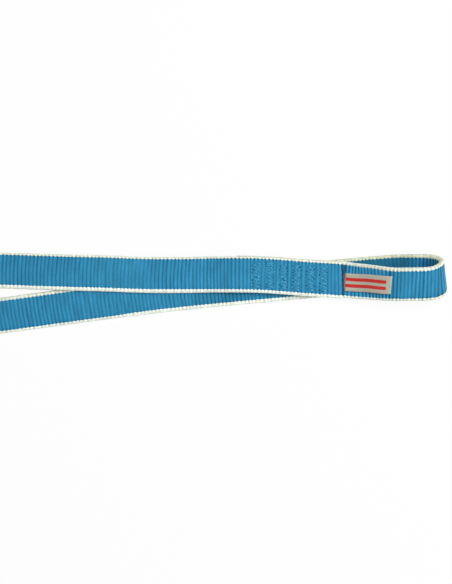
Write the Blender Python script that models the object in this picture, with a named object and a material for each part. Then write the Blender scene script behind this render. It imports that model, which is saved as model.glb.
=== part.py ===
"""Open climbing sling: one flat woven tape, closed into a loop by six bar tacks, lying on a table.

The tape starts under the seam, runs to the near bight, turns under, goes back along the table as the
lower strand, turns up in the far bight and returns as the upper strand, whose end is sewn down on the
start. A folded ribbon label is caught between the two ends. Metres, +X towards the near bight, +Z up,
origin on the table under the middle of the sling.
"""

import math

import bmesh
import bpy
from mathutils import Matrix, Vector

# The tape
LOOP_LENGTH = 0.600
TAPE_WIDTH = 0.020
TAPE_THICKNESS = 0.0028
SELVEDGE_WIDTH = 0.0018
YARN_GAP = 0.0002
SEAL_LENGTH = 0.0008
CUT_SLANT = 0.0020

# How the tape lies
NEAR_BIGHT_LENGTH = 0.0555
NEAR_BIGHT_RISE = 0.0145
NEAR_BIGHT_LEAN = math.radians(19)
NEAR_BIGHT_SWING = math.radians(9)
FAR_BIGHT_LENGTH = 0.110
FAR_BIGHT_RISE = 0.018
OPENING_WIDTH = 0.017
SETTLE_WIDTH = 0.003
ROW_SPACING = 0.014
FIT_GAP = 0.0003

# The seam
THREAD_DIAMETER = 0.00045
TACK_COUNT = 6
TACK_PASSES = 18
TACK_LENGTH = 0.0048
TACK_PITCH = 0.0074
TACK_END_MARGIN = 0.00765
TACK_SIDE_MARGIN = 0.0008

# The label
LABEL_WIDTH = 0.0097
LABEL_LENGTH = 0.0278
LABEL_PLY = 0.0003
LABEL_SLIT = 0.00015
LABEL_ROOT_SHOWING = 0.0013
LABEL_ROOT_SIDESTEP = 0.0009
LABEL_FOLD_SIDESTEP = -0.0009
LABEL_TAIL_MARGIN = 0.0006

# How finely curved pieces are divided
FINE_STEP = 0.0005
RING_SPACING = 0.012
RING_TURN = math.radians(8)
CUT_OVERRUN = 0.001
HOLE_SIDES = 6
LABEL_TAIL_RINGS = 5
LABEL_FLAP_RINGS = 8

CORE_WIDTH = TAPE_WIDTH - 2 * (SELVEDGE_WIDTH + YARN_GAP)
TACK_WIDTH = CORE_WIDTH - 2 * TACK_SIDE_MARGIN
OVERLAP_LENGTH = 2 * TACK_END_MARGIN + TACK_LENGTH + (TACK_COUNT - 1) * TACK_PITCH
LABEL_THICKNESS = 2 * LABEL_PLY + LABEL_SLIT
LABEL_TAIL_LENGTH = LABEL_ROOT_SHOWING + TACK_END_MARGIN + TACK_LENGTH + LABEL_TAIL_MARGIN
THREAD_ROOM = THREAD_DIAMETER + 2 * FIT_GAP
LABEL_ROOM = LABEL_THICKNESS + 2 * FIT_GAP
STRAND_SPACING = TAPE_WIDTH + OPENING_WIDTH

# Heights of the tape's middle above the table
ON_TABLE = TAPE_THICKNESS / 2
ON_STRAND = ON_TABLE + TAPE_THICKNESS + FIT_GAP
INNER_END = ON_TABLE + TAPE_THICKNESS + THREAD_ROOM
OUTER_END = INNER_END + TAPE_THICKNESS + FIT_GAP

# Share of the heat-sealed end's thickness that is left at the cut
SEAL_SHARE = 0.65

# Control points of the tape's middle line. The seam: distance from its inner end as a share of the
# overlap, sideways place as a share of the tape's width, lift of the upper layer as a share of the
# label's room.
SEAM_SHARES = (
    (0.00, 0.22, 0.00),
    (0.22, 0.21, 0.00),
    (0.44, 0.17, 0.04),
    (0.66, 0.11, 0.86),
    (0.88, 0.07, 1.00),
    (1.00, 0.05, 1.00),
)
# The near bight: distance from the tip as a share of the bight's length, side step out of the bight's
# own leaning plane as a share of the tape's width, height as a share of the rise, and how much of
# the bight's lean and swing the tape has there.
NEAR_BIGHT_SHARES = (
    (0.830, 0.12, 0.40, 0.30),
    (0.672, 0.15, 0.72, 0.60),
    (0.523, 0.10, 0.94, 0.90),
    (0.365, 0.04, 1.03, 1.00),
    (0.207, 0.00, 1.04, 1.00),
    (0.059, 0.00, 0.97, 1.00),
    (-0.030, 0.00, 0.50, 1.00),
    (0.059, 0.00, 0.03, 1.00),
    (0.207, 0.04, 0.00, 0.85),
    (0.365, 0.08, 0.00, 0.45),
    (0.523, 0.10, 0.00, 0.10),
)
NEAR_TIP_SIDE_SHARE = 0.22
# The strands between the bights: distance from the near tip as a share of the sling's length, and
# sideways place as a share of the strands' spacing.
LOWER_STRAND_SHARES = (
    (0.130, -0.022),
    (0.200, -0.118),
    (0.280, -0.253),
    (0.360, -0.429),
    (0.450, -0.632),
    (0.550, -0.780),
    (0.650, -0.836),
    (0.750, -0.787),
    (0.840, -0.654),
    (0.920, -0.540),
    (1.000, -0.470),
)
UPPER_STRAND_SHARES = (
    (0.160, 0.119),
    (0.187, 0.119),
    (0.230, 0.105),
    (0.280, 0.105),
    (0.340, 0.130),
    (0.410, 0.155),
    (0.490, 0.175),
    (0.580, 0.165),
    (0.670, 0.090),
    (0.760, -0.035),
    (0.840, -0.175),
    (0.920, -0.330),
    (1.000, -0.470),
)
# The far bight, upright: distance from the tip as a share of the bight's length, and height as a
# share of the rise.
FAR_BIGHT_SHARES = (
    (0.26, 0.00),
    (0.14, 0.00),
    (0.035, 0.03),
    (-0.015, 0.50),
    (0.035, 0.97),
    (0.14, 1.03),
    (0.26, 1.00),
    (0.41, 0.84),
    (0.58, 0.60),
    (0.74, 0.34),
    (0.90, 0.12),
)


def weighted_sum(weights, rows):
    """The weighted sum of equally long rows of numbers."""
    return [sum(w * row[k] for w, row in zip(weights, rows)) for k in range(len(rows[0]))]


def spline_points(controls, step, beyond=None):
    """Points of the uniform cubic B-spline of a control polygon.

    It reaches both ends, but where a control point beyond the last is given, it runs towards that.
    """
    first = weighted_sum((2, -1), controls[:2])
    rows = [first, *controls, beyond or weighted_sum((2, -1), controls[:-3:-1])]
    points = []
    for a, b, c, d in zip(rows, rows[1:], rows[2:], rows[3:]):
        count = max(2, round(math.dist(b[:3], c[:3]) / step))
        for k in range(count):
            t = k / count
            weights = (
                (1 - t) ** 3 / 6,
                (3 * t**3 - 6 * t**2 + 4) / 6,
                (-3 * t**3 + 3 * t**2 + 3 * t + 1) / 6,
                t**3 / 6,
            )
            points.append(weighted_sum(weights, (a, b, c, d)))
    points.append(weighted_sum((1 / 6, 4 / 6, 1 / 6), rows[-3:]))
    return points


def strand_line(shares, run):
    """(x, y) points of a strand's middle line between the bights, from the near tip outwards."""
    controls = [(run / 2 - along * run, side * STRAND_SPACING) for along, side in shares]
    return spline_points(controls, FINE_STEP)


def side_at(line, x):
    """The sideways place of a strand's middle line at x."""
    for (x0, y0), (x1, y1) in zip(line, line[1:]):
        if x1 <= x <= x0:
            return y0 + (y1 - y0) * (x0 - x) / (x0 - x1)
    return line[0][1] if x > line[0][0] else line[-1][1]


def resting_height(apart):
    """The upper strand's height: on the lower strand where they overlap, on the table beside it."""
    clear = apart - TAPE_WIDTH - SETTLE_WIDTH / 2
    share = min(1, max(0, clear / SETTLE_WIDTH))
    eased = share * share * (3 - 2 * share)
    return ON_STRAND + eased * (ON_TABLE - ON_STRAND)


def near_bight_rows(tip):
    """(x, y, z, lean, swing) controls of the near bight, a teardrop in a leaning, swung plane."""
    lean, swing = NEAR_BIGHT_LEAN, NEAR_BIGHT_SWING
    outward = Vector((math.cos(swing), math.sin(swing), 0))
    across = Vector((-math.sin(swing) * math.cos(lean), math.cos(swing) * math.cos(lean), math.sin(lean)))
    upward = outward.cross(across)
    start = Vector((tip, NEAR_TIP_SIDE_SHARE * TAPE_WIDTH, ON_TABLE))
    rows = []
    for along, side, rise, turn in NEAR_BIGHT_SHARES:
        place = start - along * NEAR_BIGHT_LENGTH * outward + (rise - 1 / 2) * NEAR_BIGHT_RISE * upward
        lift = NEAR_BIGHT_RISE / 2 * upward.z + TAPE_WIDTH / 2 * across.z * turn
        rows.append((place.x, place.y + side * TAPE_WIDTH, place.z + lift, turn * lean, turn * swing))
    return rows


def far_bight_rows(tip, lower, upper):
    """Controls of the far bight, where the tape turns up and over in its own width."""
    rows = []
    line = lower
    for along, rise in FAR_BIGHT_SHARES:
        if along < 0:
            line = upper
        x = tip + along * FAR_BIGHT_LENGTH
        rows.append((x, side_at(line, x), ON_TABLE + rise * FAR_BIGHT_RISE, 0, 0))
    return rows


def seam_rows(start, upper_layer):
    """Controls of one layer of the seam, from its inner end to its outer end."""
    rows = []
    for along, side, lift in SEAM_SHARES:
        height = OUTER_END + lift * (LABEL_ROOM - FIT_GAP) if upper_layer else INNER_END
        rows.append((start + along * OVERLAP_LENGTH, side * TAPE_WIDTH, height, 0, 0))
    return rows


def middle_line(run):
    """(x, y, z, lean, swing) along the whole tape, for a distance run between the bights' tips."""
    near_tip, far_tip = run / 2, -run / 2
    seam_start = near_tip - NEAR_BIGHT_LENGTH - OVERLAP_LENGTH
    lower = strand_line(LOWER_STRAND_SHARES, run)
    upper = strand_line(UPPER_STRAND_SHARES, run)
    far_bight = far_bight_rows(far_tip, lower, upper)
    near_bight = near_bight_rows(near_tip)
    rows = seam_rows(seam_start, False) + near_bight
    for along, side in LOWER_STRAND_SHARES:
        x = near_tip - along * run
        if x > far_bight[0][0] + ROW_SPACING:
            rows.append((x, side * STRAND_SPACING, ON_TABLE, 0, 0))
    rows += far_bight
    start, stop = far_bight[-1][0] + ROW_SPACING, seam_start - ROW_SPACING
    count = round((stop - start) / ROW_SPACING)
    for k in range(count + 1):
        x = start + (stop - start) * k / count
        side = side_at(upper, x)
        rows.append((x, side, resting_height(side - side_at(lower, x)), 0, 0))
    rows += seam_rows(seam_start, True)
    layer = (0, 0, OUTER_END + LABEL_ROOM - FIT_GAP - INNER_END, 0, 0)
    return spline_points(rows, FINE_STEP, weighted_sum((1, 1), (near_bight[0], layer)))


def lengths_along(points):
    """The distance along a line of points to each of them."""
    total, found = 0, [0]
    for a, b in zip(points, points[1:]):
        total += math.dist(a[:3], b[:3])
        found.append(total)
    return found


class Route:
    """The tape's middle line, with its direction, width and outward face at each distance along it."""

    def __init__(self):
        perimeter = 2 * LOOP_LENGTH + math.pi * TAPE_THICKNESS
        run = LOOP_LENGTH
        for _ in range(3):
            self.rows = middle_line(run)
            self.along = lengths_along(self.rows)
            run += (perimeter + OVERLAP_LENGTH - self.along[-1]) / 2
        self.length = self.along[-1]
        self.offset = Vector((0, 0, 0))
        edges = [self.point(s, w, n) for s, w, n in self.outline()]
        low = Vector([min(p[k] for p in edges) for k in range(3)])
        high = Vector([max(p[k] for p in edges) for k in range(3)])
        self.offset = -Vector(((low.x + high.x) / 2, (low.y + high.y) / 2, low.z))

    def outline(self):
        """Corner places of the tape along its whole length."""
        for s in self.along:
            for w in (-1, 1):
                for n in (-1, 1):
                    yield s, w * TAPE_WIDTH / 2, n * TAPE_THICKNESS / 2

    def row(self, s):
        """(x, y, z, lean, swing) at distance s, with the line carried on straight past its ends."""
        low, high = 0, len(self.along) - 1
        while high - low > 1:
            middle = (low + high) // 2
            if self.along[middle] <= s:
                low = middle
            else:
                high = middle
        t = (s - self.along[low]) / (self.along[high] - self.along[low])
        return weighted_sum((1 - t, t), (self.rows[low], self.rows[high]))

    def frame(self, s):
        """(middle, direction, width direction, outward normal) at distance s."""
        before, here, after = self.row(s - FINE_STEP), self.row(s), self.row(s + FINE_STEP)
        direction = (Vector(after[:3]) - Vector(before[:3])).normalized()
        lean, swing = here[3:]
        level = math.cos(lean)
        across = Vector((-math.sin(swing) * level, math.cos(swing) * level, math.sin(lean)))
        across = (across - across.dot(direction) * direction).normalized()
        return Vector(here[:3]) + self.offset, direction, across, direction.cross(across)

    def point(self, s, w, n):
        """The point w across and n outward from the middle of the tape at distance s."""
        middle, _, across, outward = self.frame(s)
        return middle + w * across + n * outward

    def at_x(self, x, start, stop):
        """The distance between start and stop at which the tape reaches x."""
        rising = self.point(stop, 0, 0).x > self.point(start, 0, 0).x
        for _ in range(40):
            middle = (start + stop) / 2
            if (self.point(middle, 0, 0).x < x) == rising:
                start = middle
            else:
                stop = middle
        return (start + stop) / 2

    def rings(self, start, stop):
        """Distances from start to stop, closer together where the tape turns or leans."""
        found, last = [start], start
        s = start
        while s < stop:
            s = min(stop, s + FINE_STEP)
            _, was_direction, was_across, _ = self.frame(last)
            _, direction, across, _ = self.frame(s)
            turn = direction.angle(was_direction) + across.angle(was_across)
            if s - last >= RING_SPACING or turn >= RING_TURN:
                found.append(s)
                last = s
        if stop - found[-1] < 2 * FINE_STEP and len(found) > 2:
            found.pop()
        return [*found, stop]


def material(name, colour, roughness):
    made = bpy.data.materials.new(name)
    made.use_nodes = True
    shader = made.node_tree.nodes["Principled BSDF"]
    shader.inputs["Base Color"].default_value = (*colour, 1)
    shader.inputs["Roughness"].default_value = roughness
    shader.inputs["Metallic"].default_value = 0
    return made


def new_object(name, data, look):
    obj = bpy.data.objects.new(name, data)
    bpy.context.scene.collection.objects.link(obj)
    data.materials.append(look)
    return obj


def mesh_object(name, mesh, look):
    obj = new_object(name, mesh, look)
    mesh.shade_smooth()
    mesh.set_sharp_from_angle(angle=math.radians(30))
    return obj


def swept_mesh(name, rings):
    """A closed solid through rings of equally many points."""
    shape = bmesh.new()
    corners = [[shape.verts.new(point) for point in ring] for ring in rings]
    count = len(corners[0])
    for a, b in zip(corners, corners[1:]):
        for k in range(count):
            j = (k + 1) % count
            shape.faces.new((a[k], a[j], b[j], b[k]))
    shape.faces.new(corners[0][::-1])
    shape.faces.new(corners[-1])
    bmesh.ops.recalc_face_normals(shape, faces=shape.faces)
    mesh = bpy.data.meshes.new(name)
    shape.to_mesh(mesh)
    shape.free()
    return mesh


def core_profile():
    """(across, outward) corners of the woven body between the selvedges."""
    wide, thick = CORE_WIDTH / 2, TAPE_THICKNESS / 2
    return [(-wide, -thick), (wide, -thick), (wide, thick), (-wide, thick)]


def selvedge_profile(side):
    """(across, outward) corners of the rounded edge cord on one side, 1 or -1."""
    inner = TAPE_WIDTH / 2 - SELVEDGE_WIDTH
    thick = TAPE_THICKNESS / 2
    shares = ((0, -1), (0.55, -1), (0.9, -0.62), (1, 0), (0.9, 0.62), (0.55, 1), (0, 1))
    return [(side * (inner + a * SELVEDGE_WIDTH), b * thick) for a, b in shares]


def tape_ring(route, s, profile, thinned=1):
    """Corners of the tape at distance s. Towards its outer end they turn into the slanted cut."""
    slant = CUT_SLANT / TAPE_WIDTH * max(0, 1 - (route.length - s) / TACK_END_MARGIN)
    return [route.point(s - slant * w, w, n * thinned) for w, n in profile]


def tape_solid(route, name, profile, look):
    """A strip of the tape from end to end, thinned where its cut ends are heat sealed."""
    distances = route.rings(SEAL_LENGTH, route.length - SEAL_LENGTH)
    rings = [tape_ring(route, s, profile) for s in distances]
    for place, s in ((0, 0), (len(rings) + 1, route.length)):
        rings.insert(place, tape_ring(route, s, profile, SEAL_SHARE))
    return mesh_object(name, swept_mesh(name, rings), look)


def tack_frames(route):
    """Each bar tack's place on the upper layer, with its thread's heights above and below."""
    found = []
    for index in range(TACK_COUNT):
        from_end = TACK_END_MARGIN + TACK_LENGTH / 2 + index * TACK_PITCH
        middle, direction, across, outward = route.frame(route.length - from_end)
        below = route.at_x(middle.x, 0, OVERLAP_LENGTH)
        top = TAPE_THICKNESS / 2 + FIT_GAP + THREAD_DIAMETER / 2
        bottom = route.frame(below)[0].z - middle.z - top
        found.insert(0, (middle, direction, across, outward, top, bottom))
    return found


def tack_stitches():
    """(along, across, side) of one tack's thread, side 1 on the upper face and -1 under the seam.

    The thread zigzags over the upper face with round turns, dips through the layers half way, goes
    down at the end and comes straight back under the seam.
    """
    pitch = TACK_WIDTH / TACK_PASSES
    tip = TACK_LENGTH / 2
    reach = tip - pitch / 4
    dip = TACK_PASSES // 4 * 2
    stitches = []
    for index in range(TACK_PASSES):
        ahead = -1 if index % 2 else 1
        across = (index + (index > dip)) * pitch - TACK_WIDTH / 2
        stitches.append((-ahead * reach, across, 1))
        stitches.append((ahead * reach, across, 1))
        if index == dip:
            stitches.append((ahead * reach, across, -1))
            stitches.append((ahead * reach, across + 2 * pitch, -1))
        elif index < TACK_PASSES - 1:
            stitches.append((ahead * tip, across + pitch / 2, 1))
    for along, across, _ in (stitches[-1], stitches[0]):
        stitches.append((along, across, -1))
    return stitches


def needle_holes():
    """(along, across) of the places where a tack's thread goes through the layers."""
    stitches = tack_stitches()
    pairs = zip(stitches, stitches[1:] + stitches[:1])
    return [here[:2] for here, after in pairs if here[2] != after[2]]


def bar_tack(name, frame, look):
    """One closed length of thread on a tack's frame."""
    middle, direction, across, outward, top, bottom = frame
    line = bpy.data.curves.new(name, "CURVE")
    line.dimensions = "3D"
    line.bevel_depth = THREAD_DIAMETER / 2
    line.bevel_resolution = 0
    stitches = tack_stitches()
    spline = line.splines.new("POLY")
    spline.points.add(len(stitches) - 1)
    for place, (a, c, side) in zip(spline.points, stitches):
        height = top if side > 0 else bottom
        place.co = (*(middle + a * direction + c * across + height * outward), 1)
    spline.use_cyclic_u = True
    return new_object(name, line, look)


def needle_cutter(frames):
    """All needle holes of the seam as one hidden cutter, a little wider than the thread."""
    shape = bmesh.new()
    radius = THREAD_DIAMETER / 2 + FIT_GAP
    for middle, direction, across, outward, top, bottom in frames:
        high, low = top + CUT_OVERRUN, bottom - CUT_OVERRUN
        axes = Matrix((direction, across, outward)).transposed().to_4x4()
        for a, c in needle_holes():
            place = middle + a * direction + c * across + (high + low) / 2 * outward
            bmesh.ops.create_cone(
                shape,
                cap_ends=True,
                segments=HOLE_SIDES,
                radius1=radius,
                radius2=radius,
                depth=high - low,
                matrix=Matrix.Translation(place) @ axes,
            )
    mesh = bpy.data.meshes.new("needle_holes")
    shape.to_mesh(mesh)
    shape.free()
    cutter = bpy.data.objects.new("needle_holes", mesh)
    bpy.context.scene.collection.objects.link(cutter)
    cutter.hide_render = True
    cutter.display_type = "WIRE"
    return cutter


def cut(obj, cutter):
    modifier = obj.modifiers.new("needle_holes", "BOOLEAN")
    modifier.operation = "DIFFERENCE"
    modifier.object = cutter


def label_root(route):
    """The distance along the tape's start at which the label comes out from under its end."""
    end = route.point(route.length, 0, 0)
    return route.at_x(end.x, 0, 2 * OVERLAP_LENGTH) + LABEL_ROOT_SHOWING


def label_floor():
    """How far the label's underside is above the middle of the tape."""
    return TAPE_THICKNESS / 2 + FIT_GAP


def ribbon_profile(thickness, sidestep):
    """(across, outward) corners of the label's ribbon, at some thickness and distance off the middle."""
    wide, thick = LABEL_WIDTH / 2, thickness / 2
    corners = ((-wide, -thick), (wide, -thick), (wide, thick), (-wide, thick))
    return [(w - sidestep, n) for w, n in corners]


def label_tail(route, look):
    """The sewn-in end of the label, both plies pressed together between the layers of the seam."""
    root = label_root(route)
    middle = label_floor() + LABEL_THICKNESS / 2
    profile = ribbon_profile(LABEL_THICKNESS, LABEL_ROOT_SIDESTEP)
    rings = []
    for k in range(LABEL_TAIL_RINGS + 1):
        s = root - LABEL_TAIL_LENGTH * (1 - k / LABEL_TAIL_RINGS)
        rings.append([route.point(s, w, middle + n) for w, n in profile])
    return mesh_object("label_tail", swept_mesh("label_tail", rings), look)


def label_flap(route, look):
    """The free end: a ribbon that runs out along the tape, folds over and comes back under itself."""
    start = label_root(route) + FIT_GAP
    middle = label_floor() + LABEL_THICKNESS / 2
    radius = (LABEL_PLY + LABEL_SLIT) / 2
    fold = start + LABEL_LENGTH - radius - LABEL_PLY / 2
    places = [(start + (fold - start) * k / LABEL_FLAP_RINGS, 0) for k in range(LABEL_FLAP_RINGS)]
    places += [(fold, math.pi * k / 4) for k in range(5)]
    places += [(s, math.pi) for s, _ in places[LABEL_FLAP_RINGS - 1 :: -1]]
    rings = []
    for s, turn in places:
        share = (s - start) / (fold - start)
        sidestep = LABEL_ROOT_SIDESTEP + share * (LABEL_FOLD_SIDESTEP - LABEL_ROOT_SIDESTEP)
        ring = []
        for w, n in ribbon_profile(LABEL_PLY, sidestep):
            reach = radius + n
            height = middle + reach * math.cos(turn)
            ring.append(route.point(s + reach * math.sin(turn), w, height))
        rings.append(ring)
    return mesh_object("label_flap", swept_mesh("label_flap", rings), look)


def hinge_line(route):
    """The line on which the label bends where it leaves the seam: a point and its direction."""
    root = label_root(route) + FIT_GAP
    _, _, across, _ = route.frame(root)
    return route.point(root, 0, label_floor() + LABEL_THICKNESS), -across


def set_origin(obj, place):
    """Moves an object's origin without moving its mesh."""
    obj.data.transform(Matrix.Translation(-place))
    obj.location = place


def build():
    for obj in list(bpy.data.objects):
        bpy.data.objects.remove(obj)
    blue = material("tape_blue", (0.035, 0.26, 0.50), 0.75)
    cream = material("selvedge_cream", (0.84, 0.83, 0.70), 0.85)
    thread = material("thread_blue", (0.05, 0.32, 0.56), 0.6)
    grey = material("label_grey", (0.47, 0.44, 0.41), 0.6)

    route = Route()
    webbing = tape_solid(route, "webbing", core_profile(), blue)
    tape_solid(route, "selvedge_left", selvedge_profile(1), cream)
    tape_solid(route, "selvedge_right", selvedge_profile(-1), cream)
    frames = tack_frames(route)
    for index, frame in enumerate(frames):
        bar_tack(f"bar_tack_{index + 1}", frame, thread)
    cutter = needle_cutter(frames)
    cut(webbing, cutter)
    cut(label_tail(route, grey), cutter)
    flap = label_flap(route, grey)
    pivot, axis = hinge_line(route)
    set_origin(flap, pivot)

    print("tape length", round(route.length, 4))
    print("label hinge at", [round(v, 5) for v in pivot], "axis", [round(v, 4) for v in axis])


build()
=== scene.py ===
"""The look of an open climbing sling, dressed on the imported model: ribbed blue tape with beaded cream
edges, six bar tacks, a heat-sealed cut end and a folded ribbon label, lying on a pale floor.

The tape follows the model's own route. Metres, +X towards the near bight, +Z up.
"""

import math

import bpy
import numpy as np
from mathutils import Matrix, Vector


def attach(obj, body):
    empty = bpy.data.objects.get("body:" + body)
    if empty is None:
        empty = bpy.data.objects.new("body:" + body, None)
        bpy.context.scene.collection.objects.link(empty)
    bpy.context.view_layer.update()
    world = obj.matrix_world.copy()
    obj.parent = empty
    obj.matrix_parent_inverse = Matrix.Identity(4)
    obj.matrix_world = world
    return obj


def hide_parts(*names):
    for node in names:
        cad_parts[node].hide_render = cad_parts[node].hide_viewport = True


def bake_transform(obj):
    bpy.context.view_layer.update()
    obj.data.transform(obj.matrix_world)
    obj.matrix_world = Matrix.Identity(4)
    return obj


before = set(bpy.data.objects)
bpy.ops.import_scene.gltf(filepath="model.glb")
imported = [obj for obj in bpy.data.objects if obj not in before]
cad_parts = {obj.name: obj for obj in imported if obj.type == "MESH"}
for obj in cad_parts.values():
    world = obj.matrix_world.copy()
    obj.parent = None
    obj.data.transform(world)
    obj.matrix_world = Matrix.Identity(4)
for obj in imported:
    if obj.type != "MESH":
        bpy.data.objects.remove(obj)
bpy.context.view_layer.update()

# The tape and its route, as in the model
LOOP_LENGTH = 0.600
TAPE_WIDTH = 0.020
TAPE_THICKNESS = 0.0028
SELVEDGE_WIDTH = 0.0018
YARN_GAP = 0.0002
CUT_SLANT = 0.0020
NEAR_BIGHT_LENGTH = 0.0555
NEAR_BIGHT_RISE = 0.0145
NEAR_BIGHT_LEAN = math.radians(19)
NEAR_BIGHT_SWING = math.radians(9)
FAR_BIGHT_LENGTH = 0.110
FAR_BIGHT_RISE = 0.018
OPENING_WIDTH = 0.017
SETTLE_WIDTH = 0.003
ROW_SPACING = 0.014
FIT_GAP = 0.0003
THREAD_DIAMETER = 0.00045
TACK_COUNT = 6
TACK_LENGTH = 0.0048
TACK_PITCH = 0.0074
TACK_END_MARGIN = 0.00765
LABEL_WIDTH = 0.0097
LABEL_LENGTH = 0.0278
LABEL_PLY = 0.0003
LABEL_SLIT = 0.00015
LABEL_ROOT_SHOWING = 0.0013
LABEL_ROOT_SIDESTEP = 0.0009
LABEL_FOLD_SIDESTEP = -0.0009
LABEL_TAIL_MARGIN = 0.0006
FINE_STEP = 0.0005

OVERLAP_LENGTH = 2 * TACK_END_MARGIN + TACK_LENGTH + (TACK_COUNT - 1) * TACK_PITCH
LABEL_THICKNESS = 2 * LABEL_PLY + LABEL_SLIT
LABEL_TAIL_LENGTH = LABEL_ROOT_SHOWING + TACK_END_MARGIN + TACK_LENGTH + LABEL_TAIL_MARGIN
THREAD_ROOM = THREAD_DIAMETER + 2 * FIT_GAP
LABEL_ROOM = LABEL_THICKNESS + 2 * FIT_GAP
STRAND_SPACING = TAPE_WIDTH + OPENING_WIDTH
ON_TABLE = TAPE_THICKNESS / 2
ON_STRAND = ON_TABLE + TAPE_THICKNESS + FIT_GAP
INNER_END = ON_TABLE + TAPE_THICKNESS + THREAD_ROOM
OUTER_END = INNER_END + TAPE_THICKNESS + FIT_GAP
NEAR_TIP_SIDE_SHARE = 0.22

SEAM_SHARES = (
    (0.00, 0.22, 0.00),
    (0.22, 0.21, 0.00),
    (0.44, 0.17, 0.04),
    (0.66, 0.11, 0.86),
    (0.88, 0.07, 1.00),
    (1.00, 0.05, 1.00),
)
NEAR_BIGHT_SHARES = (
    (0.830, 0.12, 0.40, 0.30),
    (0.672, 0.15, 0.72, 0.60),
    (0.523, 0.10, 0.94, 0.90),
    (0.365, 0.04, 1.03, 1.00),
    (0.207, 0.00, 1.04, 1.00),
    (0.059, 0.00, 0.97, 1.00),
    (-0.030, 0.00, 0.50, 1.00),
    (0.059, 0.00, 0.03, 1.00),
    (0.207, 0.04, 0.00, 0.85),
    (0.365, 0.08, 0.00, 0.45),
    (0.523, 0.10, 0.00, 0.10),
)
LOWER_STRAND_SHARES = (
    (0.130, -0.022),
    (0.200, -0.118),
    (0.280, -0.253),
    (0.360, -0.429),
    (0.450, -0.632),
    (0.550, -0.780),
    (0.650, -0.836),
    (0.750, -0.787),
    (0.840, -0.654),
    (0.920, -0.540),
    (1.000, -0.470),
)
UPPER_STRAND_SHARES = (
    (0.160, 0.119),
    (0.187, 0.119),
    (0.230, 0.105),
    (0.280, 0.105),
    (0.340, 0.130),
    (0.410, 0.155),
    (0.490, 0.175),
    (0.580, 0.165),
    (0.670, 0.090),
    (0.760, -0.035),
    (0.840, -0.175),
    (0.920, -0.330),
    (1.000, -0.470),
)
FAR_BIGHT_SHARES = (
    (0.26, 0.00),
    (0.14, 0.00),
    (0.035, 0.03),
    (-0.015, 0.50),
    (0.035, 0.97),
    (0.14, 1.03),
    (0.26, 1.00),
    (0.41, 0.84),
    (0.58, 0.60),
    (0.74, 0.34),
    (0.90, 0.12),
)

# (distance, millimetres aside) by which the lying cloth has settled across its route: from its start,
# through the near bight, and from its end, along the upper strand and the seam
SETTLED_START = (
    (0.0000, -0.30),
    (0.0180, -0.38),
    (0.0250, -0.28),
    (0.0380, -0.33),
    (0.0450, -0.24),
    (0.0510, -0.12),
    (0.0580, 0.00),
    (0.0730, 0.00),
    (0.0790, -0.20),
    (0.0850, -0.08),
    (0.0910, 0.30),
    (0.0970, 0.60),
    (0.1010, 0.42),
    (0.1050, 0.00),
    (0.1090, -0.40),
    (0.1130, -0.55),
    (0.1200, -0.50),
    (0.1270, -0.38),
    (0.1400, -0.36),
    (0.1540, -0.20),
    (0.1620, 0.00),
)
SETTLED_END = (
    (0.2600, 0.00),
    (0.2000, -0.45),
    (0.1670, -0.50),
    (0.1605, -0.41),
    (0.1275, -0.42),
    (0.1210, -0.60),
    (0.1143, -0.72),
    (0.1077, -0.82),
    (0.0879, -0.84),
    (0.0813, -0.77),
    (0.0747, -0.69),
    (0.0681, -0.55),
    (0.0615, -0.44),
    (0.0549, -0.33),
    (0.0483, -0.25),
    (0.0285, -0.28),
    (0.0219, -0.15),
    (0.0087, 0.00),
)
SETTLE_SMOOTHING = 17

# The weave. The tables hold (distance, value), with the distance in metres from the tape's start or, as
# END, back from its end. A value that is a length is in millimetres.
CORE_HALF = TAPE_WIDTH / 2 - SELVEDGE_WIDTH + YARN_GAP
CORE_COLUMNS = (-9.3, -8.6, -6.4, -3.8, -1.25, 1.25, 3.8, 6.4, 8.6, 9.3)
CORE_SINK = 0.00004
CORE_TUCK = 0.00045
CORE_TUCK_FROM = 0.0087
CORE_TUCK_REACH = 0.0006
FACE = TAPE_THICKNESS / 2
RIB_SAMPLES = 8
RIB_HEIGHT = 0.00031
RIB_ROUNDNESS = 0.8
RIB_PITCH_SPREAD = 0.06
RIB_SIZE_SPREAD = 0.16
RIB_PITCH_START = ((0, 2.0), (0.18, 2.0), (0.34, 2.15))
RIB_PITCH_END = ((0.2, 2.15), (0.06, 2.03))
YARN_WIDTH = 0.00056
SEAM_UPRIGHT = 0.85
SEAM_LEAN_FROM = 0.066
SEAM_LEAN_REACH = 0.016
SEALED_SHARE = 0.62
SEALED_REACH = 0.0011

# How far the ribs bow and slant along the tape at its edges
BOW_START = ((0, 0), (0.05, 0.10), (0.16, 0.10), (0.26, -0.33), (0.56, -0.33), (0.70, 0.48))
BOW_END = ((0.09, 0.48), (0.05, 0.12), (0, 0.25))
SLANT_START = ((0, 0), (0.05, 0.05), (0.16, 0.05), (0.26, 0), (0.56, 0), (0.70, 0.30))
SLANT_END = ((0.09, 0.30), (0.05, 0.10), (0, 0.0))
BIGHT_SLANT = (
    (0.078, 0), (0.088, 0.3), (0.096, 0.2), (0.106, 0.8),
    (0.111, 1.0), (0.118, -0.9), (0.135, -0.9), (0.16, 0),
)
BOW_NOISES = ((0.00012, 0.021, 3), (0.00006, 0.0019, 6))
SLANT_NOISES = ((0.00012, 0.017, 4), (0.00004, 0.0023, 7))
STRAIGHT_END = 0.004

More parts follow.
